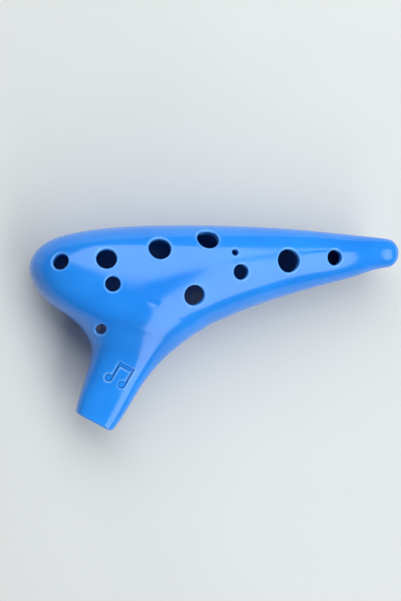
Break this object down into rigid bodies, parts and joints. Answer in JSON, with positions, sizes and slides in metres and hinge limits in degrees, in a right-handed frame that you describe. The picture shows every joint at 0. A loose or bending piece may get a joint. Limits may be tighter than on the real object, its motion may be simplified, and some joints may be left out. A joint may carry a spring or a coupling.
{
  "type": "ocarina",
  "caption": "Moulded plastic transverse ocarina: two glossy blue half shells with finger and thumb holes, a sound window and a windway block in the mouthpiece.",
  "frame": {"origin": "centre of the bounding box, level with the lowest point, with the ocarina lying on its back and its finger holes up", "axes": "+X from the round end to the tail, -Y towards the player at the mouthpiece, +Z out of the finger-hole side"},
  "size_m": [0.1409, 0.0759, 0.0373],
  "materials": {
    "top_shell_plastic": "high gloss moulded ABS",
    "bottom_shell_plastic": "high gloss moulded ABS",
    "windway_block_plastic": "satin moulded ABS"
  },
  "bodies": {
    "root": {"top_shell": "top_shell_plastic", "bottom_shell": "bottom_shell_plastic", "windway_block": "windway_block_plastic"}
  },
  "joints": []
}
